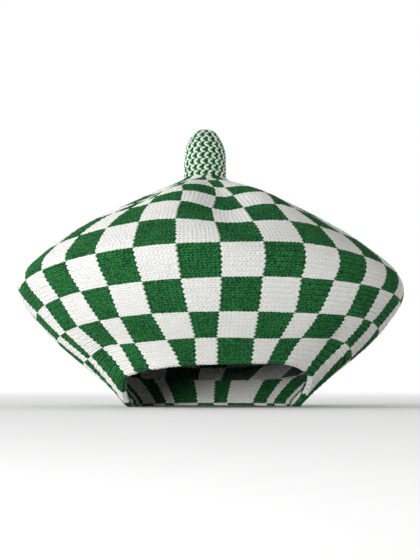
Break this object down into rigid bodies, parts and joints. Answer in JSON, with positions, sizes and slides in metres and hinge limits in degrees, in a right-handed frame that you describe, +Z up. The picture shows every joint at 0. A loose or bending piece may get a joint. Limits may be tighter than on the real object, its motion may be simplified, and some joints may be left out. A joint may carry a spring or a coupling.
{
  "type": "knitted beanie",
  "caption": "Wide beret-shaped knitted beanie in a checked knit, with a turned-in hem and a blunt knitted stub on top.",
  "frame": {"origin": "on the floor under the middle of the hat's bounding box", "axes": "+Z up, -Y to the front where the hem arches up, +X to the right as seen from the front"},
  "size_m": [0.2892, 0.2966, 0.2106],
  "materials": {
    "checked_knit": "soft green and white checked wool knit",
    "facing_knit": "soft white and green checked wool knit",
    "stalk_knit": "fine green and white wool knit"
  },
  "bodies": {
    "root": {"crown": "checked_knit", "hem_facing": "facing_knit", "stalk": "stalk_knit"}
  },
  "joints": []
}
